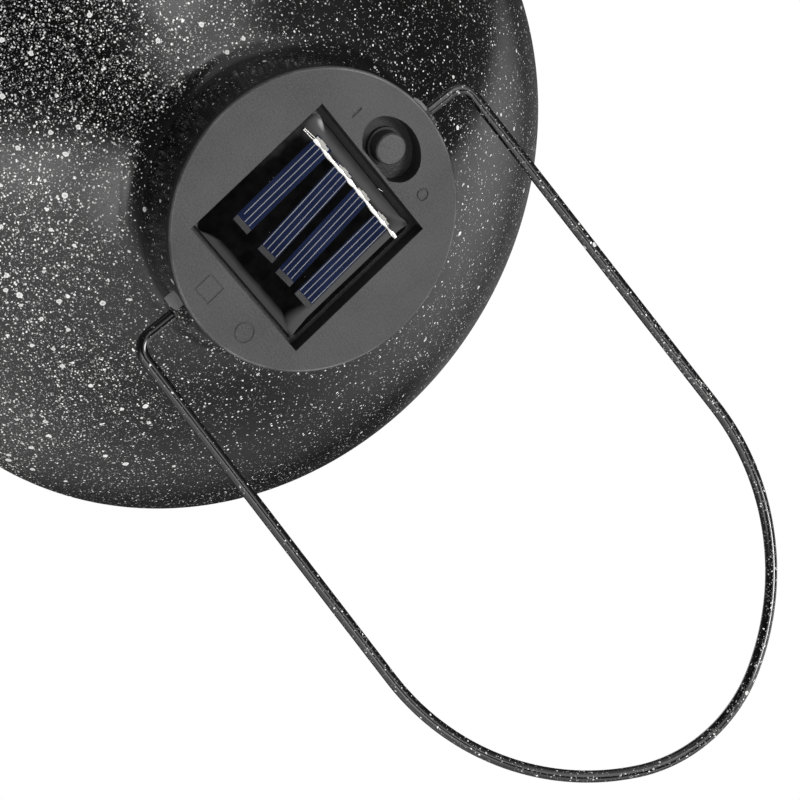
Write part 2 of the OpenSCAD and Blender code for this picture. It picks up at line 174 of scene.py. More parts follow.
# ---------------------------------------------------------------- stage and light
FLOOR_DROP = 38 * MM    # the folded bail hangs a little below the rim
FLOOR_REACH = 6.0
BACKDROP_REACH = 9.0


def backdrop(name, size):
    """A white sheet that only the camera sees, so the gloss keeps the studio's own light.

    The floor is clear from below, so the underside can be looked at.
    """
    mesh = bpy.data.meshes.new(name)
    bm = bmesh.new()
    if name == "floor":
        bmesh.ops.create_grid(bm, x_segments=4, y_segments=4, size=size)
        bmesh.ops.translate(bm, verts=bm.verts, vec=(0, 0, -FLOOR_DROP))
    else:
        bmesh.ops.create_uvsphere(bm, u_segments=48, v_segments=24, radius=size)
    bm.to_mesh(mesh)
    bm.free()
    sheet = bpy.data.objects.new(name, mesh)
    bpy.context.scene.collection.objects.link(sheet)
    paper = bpy.data.materials.new(name + "_paper")
    t = Tree(paper)
    out = t.tree.nodes.new("ShaderNodeOutputMaterial")
    tone = t.span(t.noise(t.coords(), 3.0), 0.0, 1.0, 0.995, 1.02)
    glow = t.node("ShaderNodeEmission", 0, None, Color=grey(1), Strength=tone)
    if name == "floor":
        below = t.node("ShaderNodeNewGeometry", 6)
        clear = t.node("ShaderNodeBsdfTransparent", 0)
        glow = t.node("ShaderNodeMixShader", 0, None, _0=below, _1=glow, _2=clear)
    t.tree.links.new(glow, out.inputs[0])
    mesh.materials.append(paper)
    for way in ("diffuse", "glossy", "transmission", "volume_scatter", "shadow"):
        setattr(sheet, "visible_" + way, False)


backdrop("floor", FLOOR_REACH)
backdrop("backdrop", BACKDROP_REACH)

# brightness of the studio round the lamp, by compass angle: level, from the ground, and high up
LOW_LIGHT = [(-180, 0.10), (-160, 0.18), (-146, 0.75), (-108, 0.85), (-97, 0.08), (-34, 0.08),
             (-14, 0.45), (6, 1.10), (30, 1.20), (46, 0.75), (60, 0.50), (85, 0.36),
             (105, 0.80), (126, 1.25), (136, 1.3), (142, 0.10), (180, 0.08)]
GROUND_LIGHT = [(-180, 0.05), (-150, 0.15), (-100, 0.10), (0, 0.18), (60, 0.10), (88, 0.03),
                (102, 0.04), (107, 0.15), (124, 0.16), (137, 0.12), (150, 0.05), (180, 0.05)]
HIGH_LIGHT = [(-180, 0.3), (-158, 0.25), (-140, 2.2), (-112, 1.1), (-97, 0.14), (-54, 0.08),
              (-42, 0.3), (-31, 3.9), (-12, 1.7), (12, 1.25), (50, 1.2), (80, 1.8), (110, 2.0),
              (135, 1.7), (146, 0.16), (180, 0.3)]
# low light leans: its edges move this many degrees round for each degree of height
LOW_LEAN = 0.5
# two broad lights overhead, left and right, and where one gives way to the other; then the dark
# gap between them: where each of its sides fades in or out, and how far it turns across the
# lamp's depth
TOP_LEFT, TOP_RIGHT = 2.2, 1.3
TOP_SPLIT = (0.30, 0.55)
GAP_LEFT, GAP_RIGHT, GAP_BACK, GAP_LOW = (-0.36, -0.26), (0.06, 0.16), (0.50, 0.58), (0.35, 0.55)
GAP_TURN, GAP_TURN_AT = 0.3, 0.44
# small bright lamps, high up: way to it, cosines of its edge inside and outside, brightness
LAMPS = [((-0.47, 0.19, 0.862), 0.994, 0.984, 22.0),
         ((-0.31, -0.58, 0.753), 0.997, 0.985, 3.5),
         ((0.36, -0.02, 0.933), 0.994, 0.965, 3.8)]
GAP_LIGHT = 0.016
# elevations between which the high light takes over, and then the lights overhead
HIGH_FROM, HIGH_TO, TOP_FROM, TOP_TO = 22, 40, 52, 60
# a colour ramp holds values up to 1: the lists are divided by this, and the strength puts it back
LIGHT_STEP = 10.0
# below the horizon the level light gives way to the ground's
GROUND_FROM, GROUND_TO = -5, -30
# a soft light from straight below shows the underside
BELOW_FROM, BELOW_TO, BELOW_LIGHT = -62, -75, 1.6


def make_studio():
    """Light that depends only on the direction it comes from."""
    world = bpy.data.worlds.new("studio")
    bpy.context.scene.world = world
    t = Tree(world)
    way = t.node("ShaderNodeTexCoord", 0)
    split = t.tree.nodes.new("ShaderNodeSeparateXYZ")
    t.put(split.inputs[0], way)
    x, y, z = split.outputs
    angle = t.math("ARCTAN2", y, x)
    turn = t.span(angle, -math.pi, math.pi)
    height = t.math("ARCSINE", z)
    lean = t.math("MULTIPLY", height, LOW_LEAN / (2 * math.pi))
    rows = []
    for row, where in ((LOW_LIGHT, t.math("ADD", turn, lean)), (HIGH_LIGHT, turn),
                       (GROUND_LIGHT, turn)):
        rows.append(t.ramp(where, [((a + 180) / 360, v / LIGHT_STEP) for a, v in row], "LINEAR"))
    rise = t.span(height, math.radians(HIGH_FROM), math.radians(HIGH_TO))
    crown = t.span(height, math.radians(TOP_FROM), math.radians(TOP_TO))
    ground = t.span(height, math.radians(GROUND_FROM), math.radians(GROUND_TO))
    light = t.mix(ground, t.mix(rise, rows[0], rows[1]), rows[2])
    below = t.span(height, math.radians(BELOW_FROM), math.radians(BELOW_TO))
    light = t.mix(below, light, grey(BELOW_LIGHT / LIGHT_STEP))
    above = t.ramp(t.span(x, -1.0, 1.0), [(TOP_SPLIT[0], TOP_LEFT / LIGHT_STEP),
                                          (TOP_SPLIT[1], TOP_RIGHT / LIGHT_STEP)])
    light = t.mix(crown, light, above)
    across = t.math("ADD", x, t.math("MULTIPLY", t.math("SUBTRACT", y, GAP_TURN_AT), GAP_TURN))
    gap = t.math("MULTIPLY", t.span(across, *GAP_LEFT), t.span(across, *GAP_RIGHT, 1.0, 0.0))
    gap = t.math("MULTIPLY", gap, t.span(y, *GAP_BACK, 1.0, 0.0))
    gap = t.math("MULTIPLY", gap, t.span(z, *GAP_LOW))
    light = t.mix(gap, light, grey(GAP_LIGHT / LIGHT_STEP))
    for to_lamp, near, far, bright in LAMPS:
        aim = t.node("ShaderNodeVectorMath", 1, {"operation": "DOT_PRODUCT"}, _0=way, _1=to_lamp)
        light = t.mix(t.span(aim, far, near), light, grey(bright / LIGHT_STEP))
    out = t.tree.nodes.new("ShaderNodeOutputWorld")
    glow = t.node("ShaderNodeBackground", 0, None, Color=light, Strength=LIGHT_STEP)
    t.tree.links.new(glow, out.inputs[0])


make_studio()


# ---------------------------------------------------------------- materials
# splatter in metres: the cell that holds one speck, its least and largest radius; last, how soft
# the edge is
FINE_SPECKS = (0.00050, 0.00005, 0.00024, 0.12)
MIDDLE_SPECKS = (0.00092, 0.00012, 0.00035, 0.07)
EXTRA_SPECKS = (0.00100, 0.00012, 0.00038, 0.07)
DROPS = (0.0032, 0.00035, 0.00092, 0.035)
EXTRA_ABOVE = 0.75      # density at which the extra specks begin
DROP_SHARE = 0.32       # share of the cells that hold a large drop, at density 1
DROP_STRETCH = 0.66     # drops run a little down the shade
WOBBLE = 0.0008         # how far noise pulls the specks out of round
NECK_FOOT = (0.0535, 0.0570)    # heights between which the splatter thins out on the neck


def dots(t, vector, specks, keep):
    """Specks: a mask, a random number for each one, and the distance from its middle."""
    cell, small, large, soft = specks
    made = t.tree.nodes.new("ShaderNodeTexVoronoi")
    t.put(made.inputs["Vector"], vector)
    made.inputs["Scale"].default_value = 1 / cell
    own = t.tree.nodes.new("ShaderNodeSeparateColor")
    t.put(own.inputs[0], made.outputs["Color"])
    radius = t.span(own.outputs[0], 0.0, 1.0, small / cell, large / cell)
    depth = t.math("SUBTRACT", radius, made.outputs["Distance"])
    mask = t.math("MULTIPLY", depth, 1 / soft, clamp=True)
    kept = t.math("LESS_THAN", own.outputs[1], keep)
    return t.math("MULTIPLY", mask, kept), own.outputs[2], made.outputs["Distance"]


def enamel(name, amount=1.0, thin=(-0.01, 0.085, 0.33, 1.6), big=True, rough=0.13, ground=0.0025,
           neck_share=0.16, front_sheen=None, shine=0.5):
    """Black glass enamel with white splatter that was flicked on and fired.

    thin gives the splatter's density towards +X and -Y: from, to, density at each, and
    neck_share what is left of it on the neck. The tone given for the forward side paints faces
    that look forward (-Y) a pale grey, a painted reflection.
    shine scales the gloss, 0.5 being that of glass.
    """
    mat = bpy.data.materials.new(name)
    t = Tree(mat)
    place = t.coords()
    wobble = t.noise(place, 1300, 2.0, 0.5, out=1)
    shift = t.node("ShaderNodeVectorMath", 0, {"operation": "SUBTRACT"},
                   _0=wobble, _1=(0.5, 0.5, 0.5))
    shift = t.node("ShaderNodeVectorMath", 0, {"operation": "SCALE"}, _0=shift, Scale=WOBBLE)
    near = t.node("ShaderNodeVectorMath", 0, {"operation": "ADD"}, _0=place, _1=shift)
    patch = t.noise(place, 30, 2.0)
    split = t.tree.nodes.new("ShaderNodeSeparateXYZ")
    t.put(split.inputs[0], place)
    across = t.math("MULTIPLY", t.math("SUBTRACT", split.outputs[0], split.outputs[1]),
                    math.sqrt(0.5))
    side = t.span(across, *thin)
    dense = t.math("MULTIPLY", t.span(patch, 0.3, 0.7, 0.65, 1.3), side)
    neck = t.span(split.outputs[2], *NECK_FOOT, 1.0, neck_share)
    dense = t.math("MULTIPLY", dense, t.math("MULTIPLY", neck, amount))
    fine, fine_tone, _ = dots(t, near, FINE_SPECKS, dense)
    mid, mid_tone, _ = dots(t, near, MIDDLE_SPECKS, dense)
    white = t.math("MULTIPLY", fine, t.span(fine_tone, 0, 1, 0.02, 0.36))
    white = t.math("MAXIMUM", white, t.math("MULTIPLY", mid, t.span(mid_tone, 0, 1, 0.16, 1.0)))
    again = t.node("ShaderNodeMapping", 0, None, Vector=near, Location=(0.31, 0.17, 0.05))
    more, more_tone, _ = dots(t, again, EXTRA_SPECKS, t.math("SUBTRACT", dense, EXTRA_ABOVE))
    white = t.math("MAXIMUM", white, t.math("MULTIPLY", more, t.span(more_tone, 0, 1, 0.3, 1.0)))
    raised = t.math("MAXIMUM", t.math("MAXIMUM", fine, mid), more)
    if big:
        stretched = t.node("ShaderNodeMapping", 0, None, Vector=near, Scale=(1, 1, DROP_STRETCH))
        share = t.math("MULTIPLY", t.math("POWER", dense, 1.5), DROP_SHARE)
        blob, _, reach = dots(t, stretched, DROPS, share)
        ring = t.span(reach, 0.05, 0.24, 0.45, 0.85)
        white = t.math("MAXIMUM", white, t.math("MULTIPLY", blob, ring))
        raised = t.math("MAXIMUM", raised, blob)
    haze = t.span(t.noise(place, 420, 4.0, 0.6), 0.4, 0.8, 0.0, 0.004)
    base = t.math("ADD", t.math("MAXIMUM", white, haze), ground)
    colour = t.node("ShaderNodeCombineColor", 0, None, _0=base, _1=base,
                    _2=t.math("MULTIPLY", base, 0.985))
    # faces that look forward are painted a pale grey: a painted reflection
    if front_sheen:
        facing = t.tree.nodes.new("ShaderNodeSeparateXYZ")
        t.put(facing.inputs[0], t.node("ShaderNodeTexCoord", 1))
        painted_glint = t.span(facing.outputs[1], -0.5, -0.7, 0.0, 1.0)
        sheen_tone = t.span(t.noise(place, 3600, 3.0, 0.6), 0.3, 0.7, 0.75, 1.2)
        sheen_tone = t.math("MULTIPLY", sheen_tone, front_sheen)
        sheen_colour = t.node("ShaderNodeCombineColor", 0, None, _0=sheen_tone, _1=sheen_tone, _2=sheen_tone)
        colour = t.mix(painted_glint, colour, sheen_colour)
    peel = t.noise(place, 260, 2.0, 0.4)
    wave = t.noise(place, 60, 1.0, 0.4)
    normal = t.bump(wave, 0.0010, 0.16)
    normal = t.bump(peel, 0.0002, 0.12, normal)
    normal = t.bump(raised, 0.00006, 0.6, normal)
    wear = t.span(t.noise(place, 90, 3.0), 0.3, 0.75, rough * 0.8, rough * 1.5)
    shader = t.surface(Base_Color=colour, Roughness=wear, Normal=normal)
    shader.inputs["Specular IOR Level"].default_value = shine
    return mat


# how soft the edges of the painted highlight line are, in metres
GLINT_FADE = 0.0001


def grained(name, tone, rough=0.5, grain=0.00016, depth=0.00003, tint=(1, 1, 1), spread=0.18,
            recess_shade=None, painted_glint=None):
    """Moulded plastic or rubber: a fine eroded grain, a little uneven in tone and gloss.

    For painted shade: the two heights between which the tone fades, downwards, into a darker
    painted shade for recesses and sunk marks, and how dark.
    For a painted highlight: the inner and outer radius of a pale line round the part, and how pale
    it is.
    """
    mat = bpy.data.materials.new(name)
    t = Tree(mat)
    place = t.coords()
    fine = t.noise(place, 1 / grain, 3.0, 0.6)
    slow = t.noise(place, 45, 3.0, 0.55)
    level = t.math("ADD", t.span(slow, 0.3, 0.7, -spread, spread),
                   t.span(fine, 0.3, 0.7, -spread, spread))
    level = t.math("MULTIPLY", t.math("ADD", level, 1.0), tone)
    # painted shade: below the given heights the tone darkens, in recesses and sunk marks
    if recess_shade:
        split = t.tree.nodes.new("ShaderNodeSeparateXYZ")
        t.put(split.inputs[0], place)
        level = t.math("MULTIPLY", level, t.span(split.outputs[2], recess_shade[0], recess_shade[1], recess_shade[2], 1.0))
    # painted highlight: a pale line round the part near its edge
    if painted_glint:
        split = t.tree.nodes.new("ShaderNodeSeparateXYZ")
        t.put(split.inputs[0], place)
        flat = t.node("ShaderNodeCombineXYZ", 0, None, _0=split.outputs[0], _1=split.outputs[1])
        away = t.node("ShaderNodeVectorMath", 1, {"operation": "LENGTH"}, _0=flat)
        inside = t.span(away, painted_glint[0], painted_glint[0] + GLINT_FADE)
        outside = t.span(away, painted_glint[1], painted_glint[1] + GLINT_FADE, 1, 0)
        line = t.math("MULTIPLY", inside, outside)
        line = t.math("MULTIPLY", line, t.span(slow, 0.35, 0.6))
        level = t.math("MULTIPLY", level,
                       t.math("ADD", t.math("MULTIPLY", line, painted_glint[2] - 1), 1.0))
    parts = [t.math("MULTIPLY", level, c) for c in tint]
    colour = t.node("ShaderNodeCombineColor", 0, None, _0=parts[0], _1=parts[1], _2=parts[2])
    gloss = t.span(slow, 0.3, 0.7, rough - 0.05, rough + 0.07)
    t.surface(Base_Color=colour, Roughness=gloss, Normal=t.bump(fine, depth, 0.8))
    return mat


def metal(name, tint, rough=0.3, scratch=1500, depth=0.000012):
    """Plated or drawn metal with fine marks and patchy tarnish."""
    mat = bpy.data.materials.new(name)
    t = Tree(mat)
    marks = t.noise(t.coords(), scratch, 3.0, 0.6)
    stain = t.noise(t.coords(), 160, 4.0, 0.6)
    dull = tuple(c * 0.62 for c in tint)
    colour = t.mix(t.span(stain, 0.35, 0.75), (*tint, 1), (*dull, 1))
    gloss = t.span(marks, 0.3, 0.7, rough * 0.8, rough * 1.35)
    t.surface(Base_Color=colour, Metallic=1.0, Roughness=gloss, Normal=t.bump(marks, depth, 0.7))
    return mat


def silicon(name):
    """Navy anti-reflection film on polished silicon, a little uneven."""
    mat = bpy.data.materials.new(name)
    t = Tree(mat)
    place = t.coords()
    cloud = t.noise(place, 120, 3.0, 0.5)
    speck = t.noise(place, 2600, 2.0, 0.5)
    fac = t.math("ADD", t.span(cloud, 0.3, 0.7, 0.0, 0.8), t.span(speck, 0.4, 0.7, 0.0, 0.2))
    colour = t.mix(fac, (0.0055, 0.0085, 0.026, 1), (0.0105, 0.0160, 0.045, 1))
    t.surface(Base_Color=colour, Roughness=t.span(speck, 0.3, 0.7, 0.03, 0.09),
              Normal=t.bump(speck, 0.000004, 0.3))
    return mat


def resin(name):
    """Clear resin poured over the black board: deep black, wet gloss, slow ripples."""
    mat = bpy.data.materials.new(name)
    t = Tree(mat)
    place = t.coords()
    ripple = t.noise(place, 85, 2.0, 0.4)
    cloud = t.noise(place, 300, 3.0, 0.5)
    tone = t.span(cloud, 0.35, 0.8, 0.0012, 0.004)
    colour = t.node("ShaderNodeCombineColor", 0, None, _0=tone, _1=tone, _2=tone)
    t.surface(Base_Color=colour, Roughness=t.span(cloud, 0.4, 0.8, 0.03, 0.07),
              Normal=t.bump(ripple, 0.0010, 0.12))
    return mat


def frosted(name):
    """Frosted, milky plastic that lets light through."""
    mat = bpy.data.materials.new(name)
    t = Tree(mat)
    place = t.coords()
    frost = t.noise(place, 2400, 3.0, 0.6)
    milk = t.noise(place, 60, 2.0, 0.5)
    colour = t.mix(t.span(milk, 0.3, 0.7), (0.86, 0.86, 0.83, 1), (0.93, 0.93, 0.91, 1))
    t.surface(Base_Color=colour, Roughness=t.span(frost, 0.3, 0.7, 0.42, 0.6),
              Transmission_Weight=0.45, IOR=1.49, Normal=t.bump(frost, 0.00002, 0.5))
    return mat


def printed(name, tone, mask, rough=0.35):
    """Circuit board lacquer with printed tracks showing through as a paler net."""
    mat = bpy.data.materials.new(name)
    t = Tree(mat)
    place = t.coords()
    weave = t.noise(place, 700, 2.0, 0.5)
    net = t.tree.nodes.new("ShaderNodeTexVoronoi")
    net.feature = "DISTANCE_TO_EDGE"
    t.put(net.inputs["Vector"], place)
    net.inputs["Scale"].default_value = 260
    net.inputs["Randomness"].default_value = 0.35
    track = t.span(net.outputs["Distance"], 0.05, 0.09, 1.0, 0.0)
    fac = t.math("MULTIPLY", track, mask)
    colour = t.mix(fac, (*tone, 1), (*(min(1, c * 2.2 + 0.01) for c in tone), 1))
    t.surface(Base_Color=colour, Roughness=t.span(weave, 0.3, 0.7, rough - 0.06, rough + 0.08),
              Normal=t.bump(track, 0.00003, 0.5))
    return mat


def wound(name, tint, pitch, axis=2, rough=0.3, metallic=0.6):
    """Turns of wire, or the grain of a shrink wrap, as fine bands along one axis."""
    mat = bpy.data.materials.new(name)
    t = Tree(mat)
    place = t.coords()
    split = t.tree.nodes.new("ShaderNodeSeparateXYZ")
    t.put(split.inputs[0], place)
    wave = t.math("SINE", t.math("MULTIPLY", split.outputs[axis], 2 * math.pi / pitch))
    slow = t.noise(place, 240, 3.0, 0.5)
    dark = tuple(c * 0.55 for c in tint)
    colour = t.mix(t.span(slow, 0.3, 0.7, 0.0, 0.7), (*tint, 1), (*dark, 1))
    t.surface(Base_Color=colour, Metallic=metallic,
              Roughness=t.span(slow, 0.3, 0.7, rough, rough + 0.12),
              Normal=t.bump(wave, 0.00008, 0.6))
    return mat


ENAMEL = enamel("enamel")
# the ears' forward faces get a pale grey painted reflection
EAR_ENAMEL = enamel("ear_enamel", 0.9, (-0.08, 0.09, 0.9, 1.1), big=False,
                    rough=0.3, ground=0.006, neck_share=1.0, front_sheen=0.34)
WIRE_ENAMEL = enamel("wire_enamel", 0.55, (-0.11, 0.01, 1.2, 0.3), rough=0.1, neck_share=1.0,
                     shine=0.7)
# the lid: recesses and sunk marks darkened as painted shade, and a pale painted highlight line
# near its edge
LID = grained("lid_plastic", 0.030, 0.52, 0.0006, 0.00022, spread=0.42, recess_shade=(0.0804, 0.0809, 0.3),
              painted_glint=(0.0427, 0.0433, 3.4))
CUP = grained("cup_plastic", 0.028, 0.5, 0.0003, 0.00003)
CRADLE = grained("cradle_plastic", 0.024, 0.5, 0.0004)
COLLAR = grained("collar_plastic", 0.026, 0.42, 0.0003)
BUTTON = grained("button_plastic", 0.027, 0.42, 0.0008, 0.0002, spread=0.5)
GASKET = grained("gasket_rubber", 0.012, 0.75, 0.0003)
SWITCH = grained("switch_plastic", 0.02, 0.45, 0.0003)
CHIP = grained("chip_black", 0.014, 0.5, 0.0002)
LEADS = grained("lead_red", 0.3, 0.42, 0.0006, tint=(1, 0.09, 0.06))
RESISTOR = grained("resistor_tan", 0.42, 0.5, 0.0003, tint=(1, 0.8, 0.5))
BOARD = printed("board_green", (0.02, 0.12, 0.045), 1.0)
PANEL = printed("panel_board", (0.006, 0.006, 0.007), 0.6, 0.3)
LED_BOARD = printed("board_white", (0.55, 0.55, 0.53), 1.0, 0.4)
CELL = silicon("cell_blue")
TIN = metal("tinned_ribbon", (0.88, 0.87, 0.84), 0.34, scratch=700, depth=0.00005)
TAB = grained("tab_solder", 0.30, 0.5, 0.0004, 0.00008, tint=(1, 0.97, 0.9))
CELL_END = grained("cell_end", 0.009, 0.3, 0.0004, 0.00003, tint=(1, 0.98, 1.0))
FINGER = grained("finger_silver", 0.15, 0.5, 0.0004, 0.00001, tint=(0.94, 0.97, 1.0))
STEEL = metal("spring_steel", (0.62, 0.62, 0.63), 0.3)
SCREW = metal("screw_steel", (0.62, 0.6, 0.56), 0.34)
NICKEL = metal("nickel_plate", (0.72, 0.7, 0.64), 0.26)
COIL = wound("coil_copper", (0.55, 0.22, 0.08), 0.0004)
WRAP = wound("battery_wrap", (0.05, 0.22, 0.13), 0.0035, axis=1, metallic=0.0)
GLOBE = frosted("frosted_globe")
RESIN = resin("clear_resin")
LENS = grained("led_lens", 0.8, 0.25, 0.0008, 0.00001, tint=(1, 0.92, 0.55))


# ---------------------------------------------------------------- mesh helpers
def add(name, mesh, mat, body, smooth, replaces=()):
    """Puts a mesh in the scene as a piece that rides on a body.

    Edges that turn less than smooth, in degrees, are shaded smooth.
    """
    bm = bmesh.new()
    bm.from_mesh(mesh)
    bmesh.ops.remove_doubles(bm, verts=bm.verts, dist=1e-7)
    bmesh.ops.recalc_face_normals(bm, faces=bm.faces)
    for face in bm.faces:
        face.smooth = True
    for edge in bm.edges:
        edge.smooth = len(edge.link_faces) == 2 and edge.calc_face_angle(0) < math.radians(smooth)
    bm.to_mesh(mesh)
    bm.free()
    piece = bpy.data.objects.new(name, mesh)
    bpy.context.scene.collection.objects.link(piece)
    mesh.materials.append(mat)
    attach(piece, body)
    if replaces:
        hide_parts(*replaces)
    return piece


def mesh_of(name, points, faces):
    """A mesh from plain lists."""
    mesh = bpy.data.meshes.new(name)
    mesh.from_pydata([tuple(p) for p in points], [], faces)
    mesh.update()
    return mesh


def lathe(name, section, steps):
    """A closed (r, z) section turned round the lamp's axis."""
    points, faces, n = [], [], len(section)
    for i in range(steps):
        a = 2 * math.pi * i / steps
        points += [(r * math.cos(a), r * math.sin(a), z) for r, z in section]
    for i in range(steps):
        j = (i + 1) % steps
        for k in range(n):
            m = (k + 1) % n
            faces.append((i * n + k, j * n + k, j * n + m, i * n + m))
    return mesh_of(name, points, faces)


def tube(name, path, radius, sides):
    """A round tube along a list of points; radius may be a list, one for each point."""
    path = [Vector(p) for p in path]
    radii = radius if isinstance(radius, list) else [radius] * len(path)
    ways = []
    for i in range(len(path)):
        ways.append((path[min(i + 1, len(path) - 1)] - path[max(i - 1, 0)]).normalized())
    side = ways[0].orthogonal().normalized()
    points, faces = [], []
    for p, way, r in zip(path, ways, radii):
        side = (side - way * side.dot(way)).normalized()
        other = way.cross(side)
        for k in range(sides):
            a = 2 * math.pi * k / sides
            points.append(p + (side * math.cos(a) + other * math.sin(a)) * r)
    for i in range(len(path) - 1):
        for k in range(sides):
            m = (k + 1) % sides
            faces.append((i * sides + k, i * sides + m, (i + 1) * sides + m, (i + 1) * sides + k))
    faces.append(tuple(reversed(range(sides))))
    faces.append(tuple((len(path) - 1) * sides + k for k in range(sides)))
    return mesh_of(name, points, faces)


def arc(centre, radius, start, end, steps):
    """Points on a circle in a plane, angles in degrees."""
    return [(centre[0] + radius * math.cos(math.radians(start + (end - start) * i / steps)),
             centre[1] + radius * math.sin(math.radians(start + (end - start) * i / steps)))
            for i in range(steps + 1)]


def slab(name, rings):
    """A closed block lofted through rings of points that match one to one, capped at both ends."""
    n = len(rings[0])
    points = [p for ring in rings for p in ring]
    faces = []
    for i in range(len(rings) - 1):
        for k in range(n):
            m = (k + 1) % n
            faces.append((i * n + k, i * n + m, (i + 1) * n + m, (i + 1) * n + k))
    faces.append(tuple(reversed(range(n))))
    faces.append(tuple((len(rings) - 1) * n + k for k in range(n)))
    return mesh_of(name, points, faces)


def rounded(half_x, half_y, corner, steps=6):
    """A rounded rectangle round the origin, in order."""
    out = []
    for sx, sy, start in ((1, 1, 0), (-1, 1, 90), (-1, -1, 180), (1, -1, 270)):
        out += arc((sx * (half_x - corner), sy * (half_y - corner)), corner,
                   start, start + 90, steps)
    return out


BEVEL_ANGLE = 35        # edges flatter than this stay as they are


def bevel(piece, width, segments=2):
    """Breaks the sharp edges of a piece or CAD node with a small round."""
    made = piece.modifiers.new("soft_edges", "BEVEL")
    made.width = width
    made.segments = segments
    made.limit_method = "ANGLE"
    made.angle_limit = math.radians(BEVEL_ANGLE)
    made.harden_normals = False


def finish_node(node, mat, width, segments):
    """Gives a CAD node its material, and a small round on its edges."""
    piece = NODES[node]
    piece.data.materials.clear()
    piece.data.materials.append(mat)
    if width:
        bevel(piece, width, segments)


# ---------------------------------------------------------------- shade
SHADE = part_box("shade")
RIM_R = SHADE[1].x
NECK_TOP = SHADE[1].z
NECK_R = 42.3 * MM
SHEET = 0.8 * MM
HEM = 2.2 * MM
# the flare's section is an arc between these two angles, in degrees; it meets the neck in a fillet
FLARE_START = 22
FLARE_END = 57
FILLET = 9 * MM
MOUTH_R = NECK_R + FILLET * (1 - math.sin(math.radians(FLARE_START)))
FLARE_R = (RIM_R - MOUTH_R) / (math.sin(math.radians(FLARE_END))
                               - math.sin(math.radians(FLARE_START)))
FLARE_C = (RIM_R - FLARE_R * math.sin(math.radians(FLARE_END)),
           -FLARE_R * math.cos(math.radians(FLARE_END)))
FILLET_C = (NECK_R + FILLET,
            FLARE_C[1] + (FLARE_R + FILLET) * math.cos(math.radians(FLARE_START)))


def shade_side(inset):
    """The face of the sheet from rim to neck, moved inwards by inset."""
    flare = arc(FLARE_C, FLARE_R - inset, 90 - FLARE_END, 90 - FLARE_START, 44)
    fillet = arc(FILLET_C, FILLET + inset, 270 - FLARE_START, 180, 20)
    return flare + fillet[1:]


def make_shade():
    """One spun sheet: flare, fillet, neck with a rounded lip, and a hem rolled in at the rim."""
    outer = shade_side(0)
    inner = [p for p in shade_side(SHEET) if p[1] > SHEET * 1.05]
    neck = [(NECK_R, FILLET_C[1] + (NECK_TOP - FILLET_C[1]) * f) for f in (0.3, 0.6, 0.97)]
    lip = arc((NECK_R - SHEET / 2, NECK_TOP - SHEET / 2), SHEET / 2, 0, 180, 6)
    back = [(NECK_R - SHEET, z) for _, z in reversed(neck[:2])]
    hem = [(RIM_R - HEM * 0.8, SHEET)] + arc((RIM_R - HEM, SHEET / 2), SHEET / 2, 90, 270, 6)
    hem += [(RIM_R - SHEET * 0.5, 0)]
    section = outer + neck + lip + back + list(reversed(inner)) + hem
    add("shade_sheet", lathe("shade_sheet", section, 288), ENAMEL, "lamp_shade", 50,
        ("shade",))


make_shade()

# ---------------------------------------------------------------- ears
for ear in ("left_ear", "right_ear"):
    finish_node(ear, EAR_ENAMEL, 0.35 * MM, 3)

# ---------------------------------------------------------------- bail
PIVOT_Z = frame["joints"][0]["pos_m"][2]
BAIL_FOLD = math.radians(69.1)
WIRE_R = 1.75 * MM
# the wire's centre line: legs that lean out, round sides and a flatter top, angles in degrees
LEG_X = 59.5 * MM
LEG_LEAN = 0.83
LEG_LEN = 118.6 * MM
SIDE_R = 76 * MM
SIDE_DEG = 61.8
EAR_BEND = 5 * MM
WIRE_END = 39.95 * MM
# the wire's end is peened over inside the neck: radius and depth of its section in mm
PEENED_HEAD = [(2.1, 0.0), (2.45, 0.2), (2.5, 0.45), (2.1, 0.75), (0.9, 0.9)]


def bail_half():
    """Centre line of one half in the bail's own plane, from the end in the neck to the apex."""
    lean = math.radians(LEG_LEAN)
    bend_x = LEG_X - EAR_BEND * (1 - math.sin(lean)) / math.cos(lean)
    start = [(WIRE_END + (bend_x - WIRE_END) * i / 8, 0) for i in range(8)]
    bend = arc((bend_x, EAR_BEND), EAR_BEND, -90, -LEG_LEAN, 12)
    foot = Vector(bend[-1])
    knee = Vector((LEG_X + LEG_LEN * math.sin(lean), LEG_LEN * math.cos(lean)))
    leg = [tuple(foot.lerp(knee, i / 40)) for i in range(1, 40)]
    side_c = (knee.x - SIDE_R * math.cos(lean), knee.y + SIDE_R * math.sin(lean))
    top_h = SIDE_DEG - LEG_LEAN
    side = arc(side_c, SIDE_R, -LEG_LEAN, top_h, 40)
    top_r = side[-1][0] / math.cos(math.radians(top_h))
    top_c = (0, side[-1][1] - top_r * math.sin(math.radians(top_h)))
    top = arc(top_c, top_r, top_h, 90, 16)
    return start + bend + leg + side + top[1:]


def make_bail():
    """The whole wire, folded forward about its pivot, and its two ends."""
    half = bail_half()
    line = half + [(-s, t) for s, t in reversed(half[:-1])]
    tilt = Vector((0, math.sin(BAIL_FOLD), math.cos(BAIL_FOLD)))
    path = [Vector((s, 0, PIVOT_Z)) + tilt * t for s, t in line]
    mesh = tube("bail_wire", path, WIRE_R, 32)
    add("bail_wire", mesh, WIRE_ENAMEL, "bail", 50, ("bail_handle",))
    for side in (-1, 1):
        ring = [Vector((side * (WIRE_END + (0.75 - z) * MM), 0, PIVOT_Z)) for _, z in PEENED_HEAD]
        mesh = tube("peened_end", ring, [r * MM for r, _ in PEENED_HEAD], 28)
        add("peened_end_" + ("left" if side < 0 else "right"), mesh, WIRE_ENAMEL, "bail",
            40)


make_bail()

